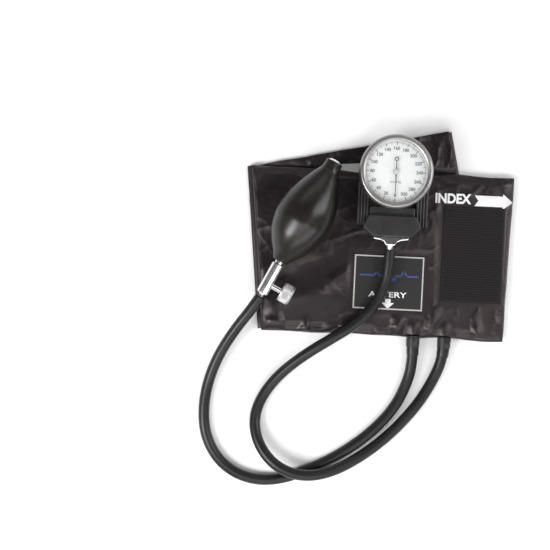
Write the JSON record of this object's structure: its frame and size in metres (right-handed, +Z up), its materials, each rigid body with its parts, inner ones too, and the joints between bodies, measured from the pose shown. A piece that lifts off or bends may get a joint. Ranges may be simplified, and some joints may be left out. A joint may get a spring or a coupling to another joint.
{
  "type": "aneroid blood pressure cuff",
  "caption": "Folded nylon arm cuff holding a bladder, with a round dial gauge, a rubber hand bulb with a screw release valve, and connecting hoses.",
  "frame": {"origin": "on the underside of the folded end, which the cuff rests on, below the middle of the front panel", "axes": "+Z up from the resting surface, +X along the cuff towards its index end, +Y across the cuff towards the gauge"},
  "size_m": [0.2717, 0.3077, 0.062],
  "materials": {
    "nylon": "glossy coated nylon, fine weave, wrinkled",
    "hook_tape": "ribbed hook tape",
    "loop_tape": "brushed loop tape",
    "label": "printed label with a pale border",
    "webbing": "woven webbing",
    "bladder_rubber": "smooth moulded rubber",
    "hose_rubber": "satin extruded rubber",
    "bulb_rubber": "matte moulded rubber",
    "satin_metal": "satin, fine turned",
    "window": "clear",
    "seal_rubber": "black",
    "dial_face": "white enamel with printed scale",
    "needle": "black",
    "brass": "machined",
    "spring_steel": "bright",
    "bronze": "thin stamped bronze",
    "moulded_black": "satin moulded",
    "steel": "satin",
    "chrome": "polished"
  },
  "bodies": {
    "root": {"outer_sheet_front": "nylon", "inner_sheet_front": "nylon", "hook_patch": "hook_tape", "label_patch": "label", "gauge_strap": "webbing", "bladder": "bladder_rubber", "bladder_neck_left": "bladder_rubber", "bladder_neck_right": "bladder_rubber", "bulb_hose": "hose_rubber", "gauge_hose": "hose_rubber", "bulb_shell": "bulb_rubber", "gauge_bezel": "satin_metal", "gauge_case": "satin_metal", "gauge_lens": "window", "lens_gasket": "seal_rubber", "screw_seal": "seal_rubber", "dial_plate": "dial_face", "dial_screws": "brass", "movement_posts": "brass", "movement_base_plate": "brass", "movement_pillars": "brass", "movement_bridge": "brass", "movement_top_plate": "brass", "hairspring": "spring_steel", "check_spring": "spring_steel", "capsule_lower": "bronze", "capsule_upper": "bronze", "gauge_carrier": "moulded_black", "carrier_back_cover": "moulded_black", "carrier_grip_left": "moulded_black", "carrier_grip_right": "moulded_black", "hanging_clip": "steel", "clip_screws": "steel", "inlet_fitting": "chrome", "bulb_end_cap": "chrome", "valve_body": "chrome", "hose_nipple": "chrome", "spring_seat": "chrome", "inlet_stop_ring": "chrome", "inlet_valve_seat": "chrome", "air_duct": "chrome"},
    "tail": {"outer_sheet_tail": "nylon", "inner_sheet_tail": "nylon"},
    "end": {"inner_sheet_end": "nylon", "outer_sheet_end": "nylon", "loop_patch": "loop_tape"},
    "pointer": {"pointer": "needle", "pointer_arbor": "brass"},
    "sector": {"sector_gear": "brass"},
    "rocker": {"rocking_shaft": "spring_steel"},
    "stud": {"capsule_stud": "brass"},
    "flap": {"inlet_valve_disc": "seal_rubber"},
    "ball": {"check_ball": "spring_steel"},
    "screw": {"release_screw": "brass"},
    "knob": {"release_knob": "satin_metal"}
  },
  "joints": [
    {"name": "pointer_turn", "type": "hinge", "parent": "root", "child": "pointer", "pos_m": [0.0093, 0.0532, 0.0454], "axis": [0, 0, -1], "range_deg": [0, 337.6], "stiffness_Nm_per_rad": 0.00002},
    {"name": "sector_turn", "type": "hinge", "parent": "root", "child": "sector", "pos_m": [0.00852, 0.03722, 0.0384], "axis": [0, 0, 1], "range_deg": [0, 48.3]},
    {"name": "rocker_tilt", "type": "hinge", "parent": "root", "child": "rocker", "pos_m": [0.00911, 0.0492, 0.0364], "axis": [0.9988, -0.0489, 0], "range_deg": [0, 6.5]},
    {"name": "stud_lift", "type": "slide", "parent": "root", "child": "stud", "axis": [0, 0, 1], "range_m": [0, 0.00044]},
    {"name": "flap_lift", "type": "slide", "parent": "root", "child": "flap", "axis": [-0.4822, -0.8698, -0.1045], "range_m": [0, 0.0012]},
    {"name": "ball_lift", "type": "slide", "parent": "root", "child": "ball", "axis": [-0.4822, -0.8698, -0.1045], "range_m": [0, 0.0008], "stiffness_N_per_m": 8, "springref_m": -0.0004, "deforming": ["check_spring"]},
    {"name": "screw_travel", "type": "slide", "parent": "root", "child": "screw", "axis": [0.8746, -0.4848, 0], "range_m": [0, 0.00142]},
    {"name": "knob_turn", "type": "hinge", "parent": "screw", "child": "knob", "pos_m": [-0.09826, -0.04027, 0.03073], "axis": [0.8746, -0.4848, 0], "range_deg": [0, 720]},
    {"name": "tail_unfold", "type": "hinge", "parent": "root", "child": "tail", "pos_m": [-0.10977, -0.00884, 0.00425], "axis": [-0.0619, 0.9981, 0], "range_deg": [0, 180]},
    {"name": "end_unfold", "type": "hinge", "parent": "tail", "child": "end", "pos_m": [0.07287, 0.02304, 0.00215], "axis": [0.1719, -0.9851, 0], "range_deg": [0, 180]}
  ],
  "couplings": [
    {"joint": "pointer_turn", "follows": "stud_lift", "rad_per_m": 13387},
    {"joint": "sector_turn", "follows": "stud_lift", "rad_per_m": 1912.5},
    {"joint": "rocker_tilt", "follows": "stud_lift", "rad_per_m": 253.87},
    {"joint": "screw_travel", "follows": "knob_turn", "m_per_rad": 0.00011141}
  ]
}
